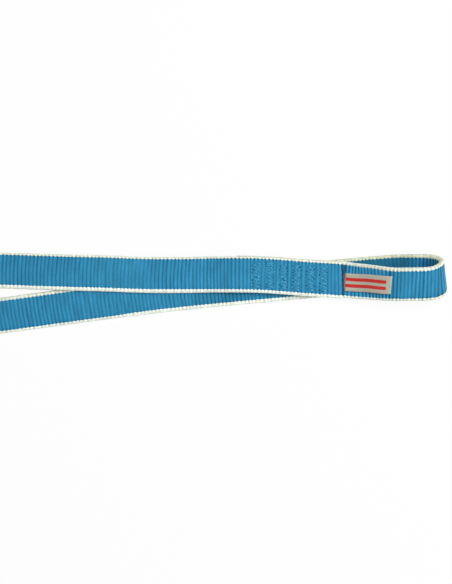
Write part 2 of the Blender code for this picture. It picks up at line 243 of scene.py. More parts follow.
# How marked the ribs are on the loop's outer and inner face: their relief, and the painted shade in their
# valleys
OUTER_RIBS_START = (
    (0, 0.8), (0.05, 0.8), (0.06, 1.25), (0.089, 1.25), (0.093, 0.80), (0.099, 0.85), (0.104, 1.30),
    (0.109, 1.1), (0.114, 1.6), (0.130, 1.6), (0.16, 1.1), (0.20, 1.1),
)
OUTER_RIBS_END = (
    (0.30, 1.1), (0.19, 0.90), (0.155, 0.85), (0.130, 0.50), (0.112, 0.50), (0.098, 0.95),
    (0.085, 0.95), (0.075, 0.80), (0.02, 0.90), (0.006, 1.0),
)
INNER_RIBS = (
    (0.112, 1), (0.122, 2.2), (0.1335, 2.2), (0.138, 1.1), (0.149, 0.5), (0.170, 0.45), (0.21, 0.8),
    (0.24, 1.2), (0.27, 0.75), (0.31, 0.7), (0.345, 1), (0.60, 1), (0.66, 1.9), (0.72, 1),
)
RIBS_MARKED = 0.42
# Deeper painted shade in the rib valleys near the edge cords
NEAR_EDGE_MORE = 0.7
NEAR_EDGE_FROM = 0.0062
NEAR_EDGE_REACH = 0.0021
# Beside the label the ribs get painted highlights on their crests and deeper painted shade in their valleys
BESIDE_LABEL_MARKED = 1.9
BESIDE_ROOT_REACH = 0.002
BESIDE_FOLD_REACH = 0.003

# How dark the blue is: darker stretches all round with painted shade at the near bight's nose, painted shade
# round the near bight's turn, inside the loop and beneath it, partly painted shade where the stitches press
# the weave flat, and a painted shadow in the gap before the label's root
TONE_START = (
    (0.100, 0), (0.106, 0.05), (0.112, 0.10), (0.120, 0.10), (0.130, 0), (0.22, 0), (0.27, 0.15),
    (0.42, 0.15),
)
TONE_END = (
    (0.17, 0.15), (0.14, 0.24), (0.10, 0.22), (0.085, 0.06), (0.056, 0.02), (0.050, 0.09), (0.008, 0.09),
    (0.004, 0),
)
TURN_SHADE = ((0.104, 0), (0.108, 0.05), (0.113, 0.45), (0.120, 0))
INSIDE_SHADE = (
    (0.10, 0), (0.115, 0.2), (0.127, 0.55), (0.1315, 0.35), (0.136, 0.18), (0.140, 0.5), (0.144, 0.9),
    (0.168, 1), (0.186, 0.45), (0.21, 0.24), (0.221, 0.25), (0.232, 0.23), (0.243, 0.55), (0.254, 0.47),
    (0.266, 0.21), (0.31, 0.18), (0.35, 0), (0.60, 0), (0.64, 0.8), (0.68, 0.8), (0.72, 0),
)
BENEATH_SHADE = ((0.17, 0.62), (0.195, 0.62), (0.225, 0.27), (0.25, 0))
PRESSED_TONE = 0.18
# A painted shadow in the gap between the seam's cut end and the label's root
GAP_BEFORE_ROOT = 0.0009
GAP_REACH = 0.0016
GAP_REACHES = 1.3

# The pale edge cords: their section as (inwards, height), width, colour's yellowing and painted shade, and
# marked ribs
EDGE_SECTION = (
    (0.00, 0.86), (0.07, 1.00), (0.30, 1.05), (0.58, 1.03), (0.82, 0.84), (0.96, 0.48), (1.00, 0.00),
)
LEFT_WIDTH_START = (
    (0, 1.4), (0.06, 1.5), (0.105, 1.45), (0.112, 1.25), (0.119, 1.5), (0.130, 1.55), (0.16, 1.5),
    (0.24, 1.7), (0.36, 1.75),
)
LEFT_WIDTH_END = ((0.30, 1.2), (0.19, 0.95), (0.085, 1.0), (0.06, 0.88), (0, 0.92))
RIGHT_WIDTH_START = (
    (0, 1.8), (0.06, 1.5), (0.078, 1.5), (0.088, 1.75), (0.108, 1.75), (0.12, 1.5), (0.16, 1.8),
    (0.20, 2.25), (0.24, 2.1), (0.28, 2.2), (0.295, 2.0), (0.305, 1.65), (0.36, 1.6),
)
RIGHT_WIDTH_END = (
    (0.30, 2.1), (0.19, 2.35), (0.085, 2.35), (0.075, 2.15), (0.055, 2.0), (0.045, 1.88), (0.028, 1.95),
    (0, 1.9),
)
# The cords' yellowing, with painted shade round the near bight's nose
LEFT_AGE_AND_SHADE_START = (
    (0, 0.9), (0.05, 0.9), (0.06, 0.25), (0.105, 0.30), (0.116, 0.8), (0.130, 0.9), (0.20, 0.9),
    (0.26, 0.40),
)
LEFT_AGE_AND_SHADE_END = ((0.30, 0.35), (0.06, 0.4), (0, 0.3))
RIGHT_AGE_AND_SHADE = ((0.085, 0.12), (0.098, 0.5), (0.112, 0.6), (0.130, 0.12))
EDGE_MARKED = ((0.070, 0.55), (0.085, 1), (0.112, 1), (0.125, 0.55))
BEAD_SWELL = 0.00022
BEAD_NOTCH = 0.00042
OUTER_NOTCH = 0.00010
EDGE_PROUD = 0.00002
EDGE_LOW = 0.93
EDGE_RISE = 0.07
EDGE_BOWED_AT = 1.05
EDGE_YARNS = 3.2
EDGE_YARNS_APART = 9.3

# The seam's thread and its needle holes
TACK_WIDTH = 0.0160
STITCH_REACH = 0.0020
STITCH_CYCLE = 0.00200
STITCH_CYCLE_SPREAD = 0.12
STITCH_WANDER_ACROSS = 0.00010
STITCH_WANDER_ALONG = 0.00022
STITCH_CLIMBS = ((2.2, 2.0), (2.4, -0.6), (2.1, 1.5), (1.6, -0.3), (2.0, 1.2), (2.1, 1.6))
STITCH_ARCH = (-0.60, -0.22, -0.02, 0.06, 0.10, 0.11, 0.10, 0.06, -0.02, -0.22, -0.60)
STITCH_THICKNESS = (0.8, 1.0, *[1.08] * 7, 1.0, 0.8)
STITCH_SINK = 0.00012
THREAD_SIDES = 9
PLY_DEPTH = 0.10
PLY_TWIST = 2600
FIRST_PASS_SHARES = (-0.42, 0.45, 0.095)
FIRST_PASS_LINES = (-0.45, 0.1, 0.55, 0.6)
FIRST_PASS_WANDER_ACROSS = 0.0003
FIRST_PASS_WANDER_ALONG = 0.0002
HOLE_SIDES = 8
HOLE_RADIUS = 0.00034
HOLE_SPREAD = 0.4
HOLE_LEAST, HOLE_MOST = 0.3, 1.4
HOLE_LENGTHENED = 1.15
HOLE_WANDER = 0.00020
HOLE_RINGS = ((1.0, 0.00040), (1.0, 0.00013), (0.5, 0.00010))
PRESS_MARGIN = 0.0005
PRESS_REACH = 0.0007
PRESS_SINK = 0.00014
PRESSED_SHARE = 0.75
PRESSED_OUT_TO = 0.97
PRESSED_OUT_REACH = 0.10

# The melted rims of the cut ends
SEAL_PLACES = 61
SEAL_SIDES = 10
SEAL_RADIUS = 0.00065
SEAL_RADIUS_SPREAD = 0.30
SEAL_HEIGHT = 0.66
SEAL_HEIGHT_SPREAD = 0.12
SEAL_AHEAD = 0.00035
SEAL_WANDER = 0.00022
SEAL_INSETS = (0.0019, 0.0013)
WOBBLE_SMOOTHING = (0.1, 0.25, 0.3, 0.25, 0.1)

# The label: its lie, then the stripes and shade on it in millimetres from its inner end
LABEL_COLUMNS = 13
TAIL_RINGS, FLAP_RINGS, TURN_RINGS = 12, 46, 9
LABEL_RIM = 1.012
TAIL_TRIM = 0.0006
LABEL_ROLL = 0.0013
LABEL_FOLD_SLANT = 0.07
LABEL_FLARE = 0.03
LABEL_WAVE = 0.00010
LABEL_WAVE_TURNS = 9.0
LABEL_WAVE_START = 0.6
LABEL_WAVE_FROM = 0.15
LABEL_LIFT = 0.00030
STRIPE_OFFSET = 1.75
STRIPE_HALF = 0.95
STRIPE_START = 15.0
STRIPE_STOP = 39.2
ROOT_SHADE_START = 13.8
ROOT_SHADE_RISE = 0.55
ROOT_SHADE_LEAST = 0.16
LABEL_GREY = (0.50, 0.47, 0.38)
LABEL_RED = (0.60, 0.022, 0.018)

# The picture: the floor and the light as seen and as they shine, the lamps and the camera
FLOOR_HALF = 3.0
FLOOR_GLOW = 0.99
FLOOR_GLOW_SHARE = 0.92
BACKDROP_SEEN = 0.985
BACKDROP_LIGHT = 0.235
TARGET = Vector((0.1764, 0.0058, 0.005))
LAMPS = (
    ("key", (0.45, 0.60, 1.7), 0.7, 20.0),
    ("fill", (0.9, 0.35, 1.2), 0.7, 4.5),
    ("side", (1.35, 0.0, 0.55), 0.6, 9.5),
)
CAMERA_DISTANCE = 1.0
CAMERA_TILT = math.radians(9)
SENSOR_WIDTH = 36.0
PICTURE_WIDTH = 452 * 0.00055


def weighted_sum(weights, rows):
    return [sum(w * row[k] for w, row in zip(weights, rows)) for k in range(len(rows[0]))]


def spline_points(controls, step, beyond=None):
    """Points of the uniform cubic B-spline of a control polygon, as the model makes them."""
    first = weighted_sum((2, -1), controls[:2])
    rows = [first, *controls, beyond or weighted_sum((2, -1), controls[:-3:-1])]
    points = []
    for a, b, c, d in zip(rows, rows[1:], rows[2:], rows[3:]):
        count = max(2, round(math.dist(b[:3], c[:3]) / step))
        for k in range(count):
            t = k / count
            weights = (
                (1 - t) ** 3 / 6,
                (3 * t**3 - 6 * t**2 + 4) / 6,
                (-3 * t**3 + 3 * t**2 + 3 * t + 1) / 6,
                t**3 / 6,
            )
            points.append(weighted_sum(weights, (a, b, c, d)))
    points.append(weighted_sum((1 / 6, 4 / 6, 1 / 6), rows[-3:]))
    return points


def strand_line(shares, run):
    controls = [(run / 2 - along * run, side * STRAND_SPACING) for along, side in shares]
    return spline_points(controls, FINE_STEP)


def side_at(line, x):
    for (x0, y0), (x1, y1) in zip(line, line[1:]):
        if x1 <= x <= x0:
            return y0 + (y1 - y0) * (x0 - x) / (x0 - x1)
    return line[0][1] if x > line[0][0] else line[-1][1]


def resting_height(apart):
    clear = apart - TAPE_WIDTH - SETTLE_WIDTH / 2
    share = min(1, max(0, clear / SETTLE_WIDTH))
    eased = share * share * (3 - 2 * share)
    return ON_STRAND + eased * (ON_TABLE - ON_STRAND)


def near_bight_rows(tip):
    lean, swing = NEAR_BIGHT_LEAN, NEAR_BIGHT_SWING
    outward = Vector((math.cos(swing), math.sin(swing), 0))
    across = Vector((-math.sin(swing) * math.cos(lean), math.cos(swing) * math.cos(lean), math.sin(lean)))
    upward = outward.cross(across)
    start = Vector((tip, NEAR_TIP_SIDE_SHARE * TAPE_WIDTH, ON_TABLE))
    rows = []
    for along, side, rise, turn in NEAR_BIGHT_SHARES:
        place = start - along * NEAR_BIGHT_LENGTH * outward + (rise - 1 / 2) * NEAR_BIGHT_RISE * upward
        lift = NEAR_BIGHT_RISE / 2 * upward.z + TAPE_WIDTH / 2 * across.z * turn
        rows.append((place.x, place.y + side * TAPE_WIDTH, place.z + lift, turn * lean, turn * swing))
    return rows


def far_bight_rows(tip, lower, upper):
    rows = []
    line = lower
    for along, rise in FAR_BIGHT_SHARES:
        if along < 0:
            line = upper
        x = tip + along * FAR_BIGHT_LENGTH
        rows.append((x, side_at(line, x), ON_TABLE + rise * FAR_BIGHT_RISE, 0, 0))
    return rows


def seam_rows(start, upper_layer):
    rows = []
    for along, side, lift in SEAM_SHARES:
        height = OUTER_END + lift * (LABEL_ROOM - FIT_GAP) if upper_layer else INNER_END
        rows.append((start + along * OVERLAP_LENGTH, side * TAPE_WIDTH, height, 0, 0))
    return rows


def middle_line(run):
    """(x, y, z, lean, swing) along the whole tape, for a distance run between the bights' tips."""
    near_tip, far_tip = run / 2, -run / 2
    seam_start = near_tip - NEAR_BIGHT_LENGTH - OVERLAP_LENGTH
    lower = strand_line(LOWER_STRAND_SHARES, run)
    upper = strand_line(UPPER_STRAND_SHARES, run)
    far_bight = far_bight_rows(far_tip, lower, upper)
    near_bight = near_bight_rows(near_tip)
    rows = seam_rows(seam_start, False) + near_bight
    for along, side in LOWER_STRAND_SHARES:
        x = near_tip - along * run
        if x > far_bight[0][0] + ROW_SPACING:
            rows.append((x, side * STRAND_SPACING, ON_TABLE, 0, 0))
    rows += far_bight
    start, stop = far_bight[-1][0] + ROW_SPACING, seam_start - ROW_SPACING
    count = round((stop - start) / ROW_SPACING)
    for k in range(count + 1):
        x = start + (stop - start) * k / count
        side = side_at(upper, x)
        rows.append((x, side, resting_height(side - side_at(lower, x)), 0, 0))
    rows += seam_rows(seam_start, True)
    layer = (0, 0, OUTER_END + LABEL_ROOM - FIT_GAP - INNER_END, 0, 0)
    return spline_points(rows, FINE_STEP, weighted_sum((1, 1), (near_bight[0], layer)))


def unit(v):
    return v / np.linalg.norm(v, axis=-1, keepdims=True)


def eased(t):
    t = np.clip(t, 0, 1)
    return t * t * (3 - 2 * t)


def settled(s, length):
    """How far the cloth lies aside of its route at the distances s."""
    places = [p for p, _ in SETTLED_START] + [length - p for p, _ in SETTLED_END]
    aside = np.interp(s, places, [a / 1000 for _, a in SETTLED_START + SETTLED_END])
    padded = np.pad(aside, SETTLE_SMOOTHING // 2, mode="edge")
    return np.convolve(padded, np.full(SETTLE_SMOOTHING, 1 / SETTLE_SMOOTHING), "valid")


class Tape:
    """The tape's middle line as arrays, with its direction, width and outward face at any distances."""

    def __init__(self):
        perimeter = 2 * LOOP_LENGTH + math.pi * TAPE_THICKNESS
        run = LOOP_LENGTH
        for _ in range(3):
            self.table = np.array(middle_line(run))
            steps = np.linalg.norm(np.diff(self.table[:, :3], axis=0), axis=1)
            self.along = np.concatenate([[0], np.cumsum(steps)])
            run += (perimeter + OVERLAP_LENGTH - self.along[-1]) / 2
        self.length = self.along[-1]
        self.offset = np.zeros(3)
        self.aside = np.zeros(len(self.along))
        s = np.repeat(self.along, 4)
        w = np.tile([-1, -1, 1, 1], len(self.along)) * TAPE_WIDTH / 2
        n = np.tile([-1, 1, -1, 1], len(self.along)) * TAPE_THICKNESS / 2
        edges = self.points(s, w, n)
        low, high = edges.min(0), edges.max(0)
        self.offset = -np.array([(low[0] + high[0]) / 2, (low[1] + high[1]) / 2, low[2]])
        self.aside = settled(self.along, self.length)

    def rows(self, s):
        """(x, y, z, lean, swing) at distances s, with the line carried on straight past its ends."""
        s = np.asarray(s, float)
        k = np.clip(np.searchsorted(self.along, s, "right") - 1, 0, len(self.along) - 2)
        t = (s - self.along[k]) / (self.along[k + 1] - self.along[k])
        return self.table[k] + (self.table[k + 1] - self.table[k]) * t[..., None]

    def frames(self, s):
        """Middles, directions, width directions and outward normals at distances s."""
        s = np.asarray(s, float)
        here = self.rows(s)
        direction = unit(self.rows(s + FINE_STEP)[..., :3] - self.rows(s - FINE_STEP)[..., :3])
        lean, swing = here[..., 3], here[..., 4]
        across = np.stack(
            [-np.sin(swing) * np.cos(lean), np.cos(swing) * np.cos(lean), np.sin(lean)], axis=-1
        )
        across = unit(across - (across * direction).sum(-1, keepdims=True) * direction)
        middle = here[..., :3] + self.offset
        middle[..., 1] += np.interp(s, self.along, self.aside)
        return middle, direction, across, np.cross(direction, across)

    def points(self, s, w, n):
        """Points w across and n outward from the middle of the tape at distances s."""
        middle, _, across, outward = self.frames(s)
        return middle + np.asarray(w)[..., None] * across + np.asarray(n)[..., None] * outward

    def at_x(self, x, start, stop):
        rising = self.rows(stop)[0] > self.rows(start)[0]
        for _ in range(40):
            middle = (start + stop) / 2
            if (self.rows(middle)[0] + self.offset[0] < x) == rising:
                start = middle
            else:
                stop = middle
        return (start + stop) / 2


def label_places():
    """The label's root and fold along the tape, its middle's height and the fold's radius."""
    end = float(tape.points(tape.length, 0.0, 0.0)[0])
    root = tape.at_x(end, 0, 2 * OVERLAP_LENGTH) + LABEL_ROOT_SHOWING
    middle = TAPE_THICKNESS / 2 + FIT_GAP + LABEL_THICKNESS / 2
    radius = (LABEL_PLY + LABEL_SLIT) / 2
    fold = root + FIT_GAP + LABEL_LENGTH - radius - LABEL_PLY / 2
    return root, middle, radius, fold


tape = Tape()
rng = np.random.default_rng(11)


def along_tape(s, start, end=()):
    """The values at distances s of a table counted from the tape's start and one back from its end."""
    places = [p for p, _ in start] + [tape.length - p for p, _ in end]
    return np.interp(s, places, [value for _, value in (*start, *end)])


# Materials


def nodes_of(name, roughness, specular, sheen=0.0):
    """A new material with its node tree and its shader."""
    made = bpy.data.materials.new(name)
    made.use_nodes = True
    shader = made.node_tree.nodes["Principled BSDF"]
    for key, value in (("Roughness", roughness), ("Specular IOR Level", specular), ("Sheen Weight", sheen)):
        shader.inputs[key].default_value = value
    return made, made.node_tree, shader


def math_node(tree, operation, a, b=None, c=None):
    node = tree.nodes.new("ShaderNodeMath")
    node.operation = operation
    for socket, value in zip(node.inputs, (a, b, c)):
        if value is None:
            continue
        if isinstance(value, (int, float)):
            socket.default_value = value
        else:
            tree.links.new(value, socket)
    return node.outputs[0]


def varied(tree, value, *parts):
    """The value times (gain * source + base) for each (source, gain, base)."""
    for source, gain, base in parts:
        factor = math_node(tree, "MULTIPLY_ADD", source, gain, base)
        value = math_node(tree, "MULTIPLY", value, factor)
    return value


def arches(tree, value, pitch):
    """A row of rounded arches along the value."""
    wave = math_node(tree, "SINE", math_node(tree, "MULTIPLY", value, pitch))
    return math_node(tree, "ABSOLUTE", wave)


def uv_of(tree, name):
    node = tree.nodes.new("ShaderNodeUVMap")
    node.uv_map = name
    return node.outputs["UV"]


def along_and_across(tree, uv):
    split = tree.nodes.new("ShaderNodeSeparateXYZ")
    tree.links.new(uv, split.inputs["Vector"])
    return split.outputs["X"], split.outputs["Y"]


def noise(tree, vector, scale, detail=2.0, roughness=0.5):
    node = tree.nodes.new("ShaderNodeTexNoise")
    node.inputs["Scale"].default_value = scale
    node.inputs["Detail"].default_value = detail
    node.inputs["Roughness"].default_value = roughness
    tree.links.new(vector, node.inputs["Vector"])
    return node.outputs["Fac"]


def yarn_noise(tree, uv, along, across, detail, roughness=0.5):
    """Noise with its own scale along the tape and across it."""
    node = tree.nodes.new("ShaderNodeMapping")
    node.inputs["Scale"].default_value = (along, across, 1.0)
    tree.links.new(uv, node.inputs["Vector"])
    return noise(tree, node.outputs["Vector"], 1.0, detail, roughness)


def ramp(tree, value, stops):
    node = tree.nodes.new("ShaderNodeValToRGB")
    while len(node.color_ramp.elements) < len(stops):
        node.color_ramp.elements.new(0.5)
    for element, (place, colour) in zip(node.color_ramp.elements, stops):
        element.position = place
        element.color = (*colour, 1)
    tree.links.new(value, node.inputs["Fac"])
    return node.outputs["Color"]


def mixed(tree, factor, a, b, kind="MIX"):
    node = tree.nodes.new("ShaderNodeMix")
    node.data_type = "RGBA"
    node.blend_type = kind
    for socket, value in ((node.inputs[0], factor), (node.inputs[6], a), (node.inputs[7], b)):
        if isinstance(value, (int, float)):
            socket.default_value = value
        elif isinstance(value, tuple):
            socket.default_value = (*value, 1)
        else:
            tree.links.new(value, socket)
    return node.outputs[2]


def shaded(tree, colour, shade):
    """The colour times a shade that is the same in all three channels."""
    grey = tree.nodes.new("ShaderNodeCombineColor")
    for channel in range(3):
        tree.links.new(shade, grey.inputs[channel])
    return mixed(tree, 1.0, colour, grey.outputs[0], "MULTIPLY")


def coloured(tree, shader, colour):
    tree.links.new(colour, shader.inputs["Base Color"])


def bumped(tree, shader, height, distance):
    node = tree.nodes.new("ShaderNodeBump")
    node.inputs["Distance"].default_value = distance
    tree.links.new(height, node.inputs["Height"])
    tree.links.new(node.outputs["Normal"], shader.inputs["Normal"])


def yarn_height(tree, ribs, yarns):
    """Rounded yarns side by side, shifted by half a yarn on every other rib."""
    odd = math_node(tree, "MODULO", math_node(tree, "FLOOR", ribs), 2.0)
    place = math_node(tree, "ADD", yarns, math_node(tree, "MULTIPLY", odd, 0.5))
    return math_node(tree, "POWER", arches(tree, place, math.pi), 0.6)


def weave_material(name, fresh, aged_and_shaded, roughness, sheen, yarn_depth, specks):
    """Woven polyamide: darker between the ribs and between the yarns as painted shade in their valleys, each
    rib its own shade, its yarns in fine relief.

    The colours are pairs of a rib's crest and the valley beside it, whose darker colour is painted shade.
    The coordinates `lie` say how marked the ribs are, with narrow valleys, painted highlights on the crests
    and deeper painted shade above 1, and how far the colour goes to the darker pair: yellowing on the cords,
    painted shade and other darkening on the blue.
    """
    made, tree, shader = nodes_of(name, roughness, 0.12, sheen)
    uv = uv_of(tree, "weave")
    ribs, yarns = along_and_across(tree, uv)
    marked, age_and_shade = along_and_across(tree, uv_of(tree, "lie"))
    yarn = yarn_height(tree, ribs, yarns)
    own = yarn_noise(tree, uv, 0.9, 0.05, 1.0)
    patch = yarn_noise(tree, uv, 0.06, 0.05, 2.0)
    fibre = yarn_noise(tree, uv, 0.6, 4.0, 3.0, 0.7)
    speck = yarn_noise(tree, uv, 1.7, 0.95, 1.0)
    narrow = math_node(tree, "MAXIMUM", math_node(tree, "SUBTRACT", marked, 1.0), 0.0)
    sharpness = math_node(tree, "MULTIPLY_ADD", narrow, -2.5, 2.8)
    crown = math_node(tree, "POWER", arches(tree, ribs, math.pi), sharpness)
    marked = math_node(tree, "MINIMUM", marked, 1.0)
    # How far towards the valley's colour: painted shade between the ribs
    depth = math_node(tree, "MULTIPLY", marked, math_node(tree, "SUBTRACT", 1.0, crown))
    crest, valley = (mixed(tree, age_and_shade, new, darkened) for new, darkened in zip(fresh, aged_and_shaded))
    # Beside the label, where the ribs are marked above 1: a painted highlight on the crests and painted
    # shade in the valleys
    crest_light_valley_shade = math_node(tree, "MULTIPLY", narrow, math_node(tree, "MULTIPLY_ADD", crown, 0.75, -0.35))
    shade = varied(
        tree,
        math_node(tree, "MULTIPLY_ADD", own, 0.62, 0.69),
        (patch, 0.12, 0.94),
        (crest_light_valley_shade, 1.0, 1.0),
        (yarn, 0.12, 0.90),
        (fibre, 0.26, 0.87),
        (speck, specks, 1 - specks / 2),
    )
    coloured(tree, shader, shaded(tree, mixed(tree, depth, crest, valley), shade))
    height = math_node(tree, "ADD", yarn, math_node(tree, "MULTIPLY", fibre, 0.5))
    bumped(tree, shader, height, yarn_depth)
    return made


def within(tree, value, low, high):
    """1 where the value lies between low and high, or else 0."""
    above_low = math_node(tree, "GREATER_THAN", value, low)
    return math_node(tree, "MULTIPLY", above_low, math_node(tree, "LESS_THAN", value, high))


def label_material():
    """Satin ribbon, darker towards its sewn root as painted shadow, with two woven stripes along it."""
    made, tree, shader = nodes_of("satin_grey", 0.5, 0.3, 0.25)
    uv = uv_of(tree, "weave")
    along, across = along_and_across(tree, uv)
    warp, weft = arches(tree, across, 11.0), arches(tree, along, 13.0)
    fibre = yarn_noise(tree, uv, 0.6, 5.0, 3.0, 0.6)
    tone = math_node(tree, "MULTIPLY_ADD", fibre, 0.22, 0.86)
    tone = varied(tree, tone, (warp, 0.10, 0.92), (weft, 0.06, 0.96))
    # Painted shadow towards the root, where the label goes under the cut end
    rise = math_node(tree, "MULTIPLY", math_node(tree, "SUBTRACT", along, ROOT_SHADE_START), ROOT_SHADE_RISE)
    rise = math_node(tree, "MINIMUM", math_node(tree, "MAXIMUM", rise, ROOT_SHADE_LEAST), 1.0)
    tone = math_node(tree, "MULTIPLY", tone, rise)
    off = math_node(tree, "SUBTRACT", math_node(tree, "ABSOLUTE", across), STRIPE_OFFSET)
    ragged = math_node(tree, "MULTIPLY", math_node(tree, "SUBTRACT", weft, 0.5), 0.12)
    reach = math_node(tree, "ADD", math_node(tree, "ABSOLUTE", off), ragged)
    stripe = math_node(tree, "LESS_THAN", reach, STRIPE_HALF)
    stripe = math_node(tree, "MULTIPLY", stripe, within(tree, along, STRIPE_START, STRIPE_STOP))
    coloured(tree, shader, shaded(tree, mixed(tree, stripe, LABEL_GREY, LABEL_RED), tone))
    height = math_node(tree, "MULTIPLY", warp, 0.5)
    height = math_node(tree, "ADD", height, math_node(tree, "MULTIPLY", weft, 0.3))
    height = math_node(tree, "ADD", height, math_node(tree, "MULTIPLY", stripe, 1.2))
    bumped(tree, shader, height, 0.00004)
    return made


def plain_material(name, dark, light, roughness, specular, scale, distance):
    """A mottled colour with a fine bump."""
    made, tree, shader = nodes_of(name, roughness, specular)
    coords = tree.nodes.new("ShaderNodeTexCoord")
    mottled = noise(tree, coords.outputs["Object"], scale, 3.0, 0.6)
    coloured(tree, shader, ramp(tree, mottled, ((0.3, dark), (0.7, light))))
    bumped(tree, shader, mottled, distance)
    return made


def thread_material(dark, light):
    made, tree, shader = nodes_of("bonded_thread", 0.6, 0.3, 0.05)
    fibre = yarn_noise(tree, uv_of(tree, "weave"), 0.95, 1.2, 1.0)
    coloured(tree, shader, ramp(tree, fibre, ((0.34, dark), (0.62, light))))
    bumped(tree, shader, fibre, 0.00004)
    return made


# Meshes


def mesh_from(name, verts, faces, look, **uvs):
    mesh = bpy.data.meshes.new(name)
    mesh.from_pydata([tuple(v) for v in verts], [], [tuple(f) for f in faces])
    mesh.materials.append(look)
    loops = np.zeros(len(mesh.loops), np.int32)
    mesh.loops.foreach_get("vertex_index", loops)
    for key, uv in uvs.items():
        layer = mesh.uv_layers.new(name=key)
        layer.data.foreach_set("uv", np.asarray(uv, np.float32).reshape(-1, 2)[loops].ravel())
    mesh.shade_smooth()
    mesh.validate()
    obj = bpy.data.objects.new(name, mesh)
    bpy.context.scene.collection.objects.link(obj)
    return obj


def ring_faces(rings, size):
    """Quads between rings of equal size, with both end caps."""
    r = np.arange(rings - 1)[:, None] * size
    k = np.arange(size)[None, :]
    j = (k + 1) % size
    quads = np.stack([r + k, r + j, r + size + j, r + size + k], axis=-1).reshape(-1, 4)
    caps = (range(size - 1, -1, -1), range((rings - 1) * size, rings * size))
    return quads.tolist() + [list(cap) for cap in caps]


def rib_edges():
    """Distances along the tape at which the weave's valleys lie, each rib a little its own length."""
    edges = [0.0]
    while edges[-1] < tape.length:
        pitch = along_tape(edges[-1], RIB_PITCH_START, RIB_PITCH_END) / 1000
        edges.append(edges[-1] + pitch * (1 + RIB_PITCH_SPREAD * float(rng.normal())))
    edges = np.array(edges)
    return edges * tape.length / edges[-1]


EDGES = rib_edges()
RIBS = len(EDGES) - 1
RIB_SIZES = 1 + RIB_SIZE_SPREAD * rng.normal(size=RIBS + 1).clip(-2, 2)


def ring_places():
    """(distance, rib count) of every ring of the woven mesh."""
    u = np.arange(RIBS * RIB_SAMPLES + 1) / RIB_SAMPLES
    return np.interp(u, np.arange(RIBS + 1), EDGES), u


def rib_size(u):
    return RIB_SIZES[np.clip(u.astype(int), 0, RIBS)]


def rib_profile(u):
    return np.abs(np.sin(np.pi * u)) ** RIB_ROUNDNESS


def sealed(s):
    """The share of its thickness that the tape keeps towards its melted ends."""
    ends = np.minimum(s, tape.length - s)
    return SEALED_SHARE + (1 - SEALED_SHARE) * eased(ends / SEALED_REACH)


def smooth_noise(s, spacing, seed):
    """Slow noise along the tape, from -1 to 1."""
    values = np.random.default_rng(seed).uniform(-1, 1, int(tape.length / spacing) + 3)
    t = np.asarray(s) / spacing
    k = np.clip(t.astype(int), 0, len(values) - 2)
    return values[k] + (values[k + 1] - values[k]) * eased(t - k)


def sewn_slant(s):
    """How far along the tape the seam's ribs and stitches lean for each metre across it."""
    _, direction, _, _ = tape.frames(s)
    inside = eased((np.asarray(s) - (tape.length - SEAM_LEAN_FROM)) / SEAM_LEAN_REACH)
    return SEAM_UPRIGHT * inside * direction[..., 1] / direction[..., 0]


def bow(s, v):
    """How far the ribs are pulled along the tape at share v of the half width, so they aren't straight."""
    curve = along_tape(s, BOW_START, BOW_END) / 1000
    slant = along_tape(s, SLANT_START, SLANT_END) / 1000 + along_tape(s, BIGHT_SLANT) / 1000
    for size, spacing, seed in BOW_NOISES:
        curve = curve + size * smooth_noise(s, spacing, seed)
    for size, spacing, seed in SLANT_NOISES:
        slant = slant + size * smooth_noise(s, spacing, seed)
    v = np.clip(v, -1.1, 1.1)
    left = (tape.length - s) / TACK_END_MARGIN
    cut = CUT_SLANT / 2 * np.clip(1 - left, 0, 1)
    slant = slant + CORE_HALF * sewn_slant(s) * np.clip(left, 0, 1)
    ends = eased(np.minimum(s, tape.length - s) / STRAIGHT_END)
    return ends * (curve * v * v + slant * v) - cut * v


def above(centre):
    """The distance along the tape's start that lies under the distance centre from its far end."""
    return tape.at_x(float(tape.points(centre, 0.0, 0.0)[0]), 0, OVERLAP_LENGTH)


last_tack = tape.length - TACK_END_MARGIN - TACK_LENGTH / 2
tack_places = [last_tack - k * TACK_PITCH for k in range(TACK_COUNT)][::-1]
tack_below = [above(place) for place in tack_places]


def pressed(s, v):
    """How far the seam's stitches press the weave flat, from 0 to 1."""
    found = np.zeros(np.broadcast(s, v).shape)
    inside = eased((PRESSED_OUT_TO - np.abs(v)) / PRESSED_OUT_REACH)
    for centre in [*tack_places, *tack_below]:
        reach = TACK_LENGTH / 2 + PRESS_MARGIN - np.abs(s - centre)
        found = np.maximum(found, eased(reach / PRESS_REACH))
    return found * inside


def rib_strength(s, side):
    """How marked the ribs are along the tape: more so inside and round a bend."""
    outer = along_tape(s, OUTER_RIBS_START, OUTER_RIBS_END)
    return np.where(side > 0, outer, along_tape(s, INNER_RIBS))


def face_height(s, u, w, side):
    """Height of the woven face above the tape's middle."""
    depth = RIB_HEIGHT * (rib_size(u) * rib_strength(s, side)) * (1 - rib_profile(u))
    flat = pressed(s, w / CORE_HALF)
    height = FACE - CORE_SINK - depth * (1 - PRESSED_SHARE * flat) - PRESS_SINK * flat
    under = CORE_TUCK * eased((np.abs(w) - CORE_TUCK_FROM) / CORE_TUCK_REACH)
    return (height - under) * sealed(s)


